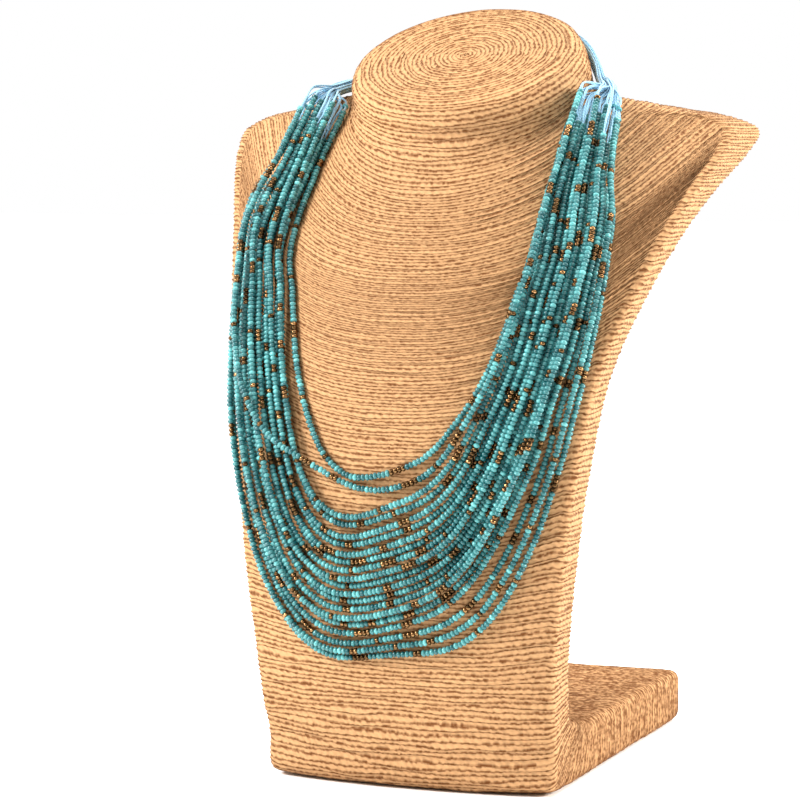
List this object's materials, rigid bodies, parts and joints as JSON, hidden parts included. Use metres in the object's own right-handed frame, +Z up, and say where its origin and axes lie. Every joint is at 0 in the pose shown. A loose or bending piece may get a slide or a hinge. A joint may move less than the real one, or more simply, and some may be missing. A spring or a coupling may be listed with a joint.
{
  "type": "multi strand bead necklace on neck bust",
  "caption": "Necklace of many fine strands of turquoise seed beads with bronze accents, gathered by thread bundles and a clasp, on a cord-wrapped neck bust with an L-shaped foot",
  "frame": {"origin": "centre of the foot's underside, on the surface that the bust stands on", "axes": "+Z up, front of the bust and necklace towards -Y, the foot reaches back to +Y, +X to the right as seen from the front"},
  "size_m": [0.236, 0.2217, 0.34],
  "materials": {
    "paper_cord": "matte",
    "seed_beads": "gloss",
    "thread": "matte",
    "clasp_metal": "satin"
  },
  "bodies": {
    "root": {"bust": "paper_cord", "thread_bundle_left": "thread", "thread_bundle_right": "thread", "clasp": "clasp_metal", "strand_01": "seed_beads", "strand_02": "seed_beads", "strand_03": "seed_beads", "strand_04": "seed_beads", "strand_05": "seed_beads", "strand_06": "seed_beads", "strand_07": "seed_beads", "strand_08": "seed_beads", "strand_09": "seed_beads", "strand_10": "seed_beads", "strand_11": "seed_beads", "strand_12": "seed_beads", "strand_13": "seed_beads", "strand_14": "seed_beads", "strand_15": "seed_beads", "strand_16": "seed_beads", "strand_17": "seed_beads", "strand_18": "seed_beads", "strand_19": "seed_beads", "strand_20": "seed_beads"}
  },
  "joints": []
}
